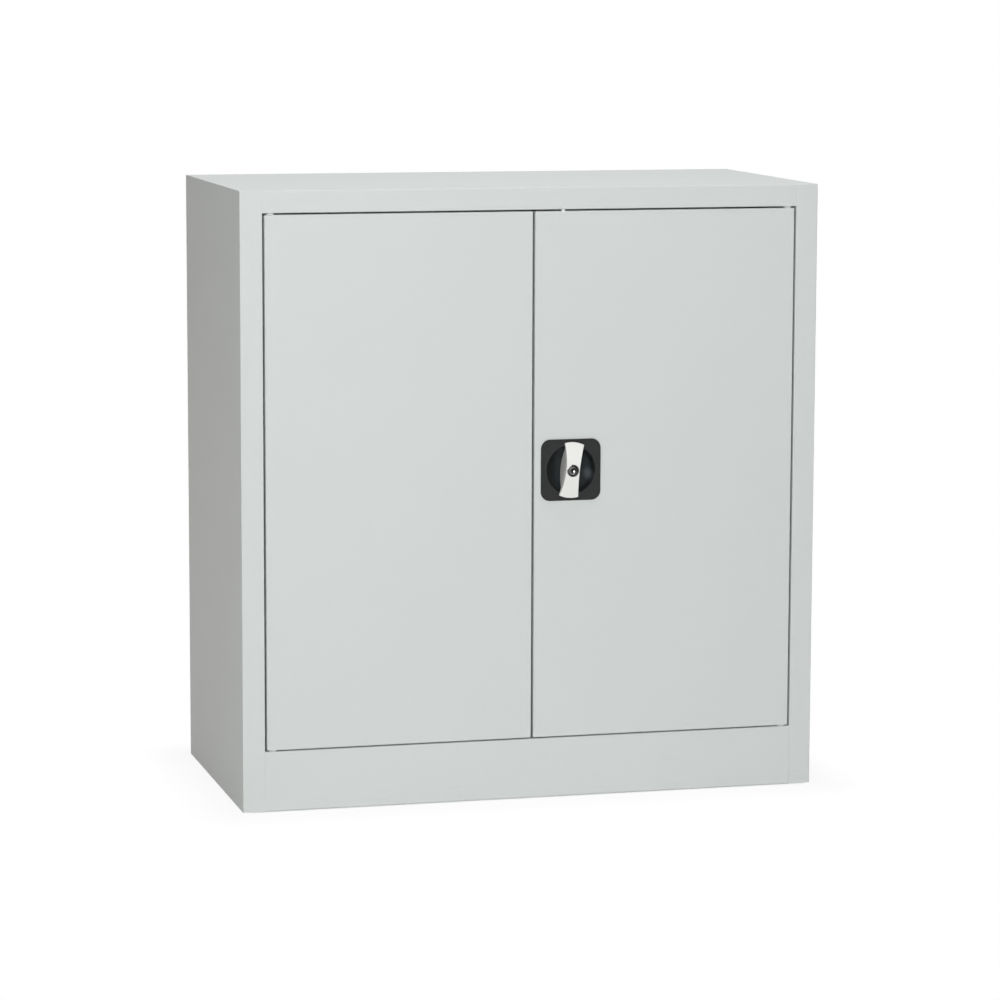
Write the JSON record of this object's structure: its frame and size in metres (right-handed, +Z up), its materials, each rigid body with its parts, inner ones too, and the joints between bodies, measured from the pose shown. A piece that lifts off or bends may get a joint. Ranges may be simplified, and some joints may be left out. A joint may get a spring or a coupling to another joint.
{
  "type": "double door cupboard",
  "caption": "Low sheet-steel cupboard with two hinged doors, adjustable shelves, a plinth and a recessed turning handle that works a lock cam and bolt rods.",
  "frame": {"origin": "on the floor under the middle of the whole object", "axes": "+Z up, the front with its doors faces -Y, and +X is the right-hand side seen from the front"},
  "size_m": [0.915, 0.473, 0.95],
  "materials": {
    "grey_paint": "light grey powder coat, fine satin texture",
    "bright_steel": "bright zinc plated",
    "white_nylon": "matt white moulding",
    "black_plastic": "satin black moulding",
    "silver_lever": "pale silver, satin",
    "dark_chrome": "dark polished plate"
  },
  "bodies": {
    "carcass": {"left_side_panel": "grey_paint", "right_side_panel": "grey_paint", "top_panel": "grey_paint", "plinth_panel": "grey_paint", "floor_panel": "grey_paint", "back_panel": "grey_paint", "left_front_shelf_upright": "bright_steel", "left_rear_shelf_upright": "bright_steel", "right_front_shelf_upright": "bright_steel", "right_rear_shelf_upright": "bright_steel", "lower_shelf": "grey_paint", "upper_shelf": "grey_paint", "lower_left_front_shelf_clip": "bright_steel", "lower_left_rear_shelf_clip": "bright_steel", "lower_right_front_shelf_clip": "bright_steel", "lower_right_rear_shelf_clip": "bright_steel", "upper_left_front_shelf_clip": "bright_steel", "upper_left_rear_shelf_clip": "bright_steel", "upper_right_front_shelf_clip": "bright_steel", "upper_right_rear_shelf_clip": "bright_steel", "left_top_hinge_pin": "bright_steel", "left_bottom_hinge_pin": "bright_steel", "right_top_hinge_pin": "bright_steel", "right_bottom_hinge_pin": "bright_steel"},
    "left_door": {"left_door_panel": "grey_paint", "left_door_stiffener": "grey_paint", "left_top_hinge_bush": "white_nylon", "left_bottom_hinge_bush": "white_nylon"},
    "right_door": {"right_door_panel": "grey_paint", "right_door_stiffener": "grey_paint", "right_top_hinge_bush": "white_nylon", "right_bottom_hinge_bush": "white_nylon", "handle_dish": "black_plastic", "dish_screw_1": "bright_steel", "dish_screw_2": "bright_steel", "dish_screw_3": "bright_steel", "dish_screw_4": "bright_steel", "upper_rod_guide": "white_nylon", "lower_rod_guide": "white_nylon"},
    "handle": {"handle_lever": "silver_lever", "lock_barrel": "dark_chrome", "handle_spindle": "bright_steel", "lock_cam": "bright_steel", "cam_screw": "bright_steel"},
    "lock_plug": {"lock_plug": "dark_chrome"},
    "upper_rod": {"upper_rod": "bright_steel"},
    "lower_rod": {"lower_rod": "bright_steel"}
  },
  "joints": [
    {"name": "left_door_swing", "type": "hinge", "parent": "carcass", "child": "left_door", "pos_m": [-0.4095, -0.2135, 0.504], "axis": [0, 0, -1], "range_deg": [0, 110]},
    {"name": "right_door_swing", "type": "hinge", "parent": "carcass", "child": "right_door", "pos_m": [0.4095, -0.2135, 0.504], "axis": [0, 0, 1], "range_deg": [0, 110]},
    {"name": "handle_turn", "type": "hinge", "parent": "right_door", "child": "handle", "pos_m": [0.0597, -0.2205, 0.514], "axis": [0, 1, 0], "range_deg": [0, 90]},
    {"name": "lock_plug_turn", "type": "hinge", "parent": "handle", "child": "lock_plug", "pos_m": [0.0597, -0.2205, 0.514], "axis": [0, 1, 0], "range_deg": [0, 90]},
    {"name": "upper_rod_slide", "type": "slide", "parent": "right_door", "child": "upper_rod", "axis": [0, 0, 1], "range_m": [0, 0.0227]},
    {"name": "lower_rod_slide", "type": "slide", "parent": "right_door", "child": "lower_rod", "axis": [0, 0, -1], "range_m": [0, 0.0227]}
  ],
  "couplings": [
    {"joint": "upper_rod_slide", "follows": "handle_turn", "m_per_rad": 0.014405},
    {"joint": "lower_rod_slide", "follows": "handle_turn", "m_per_rad": 0.014405}
  ]
}
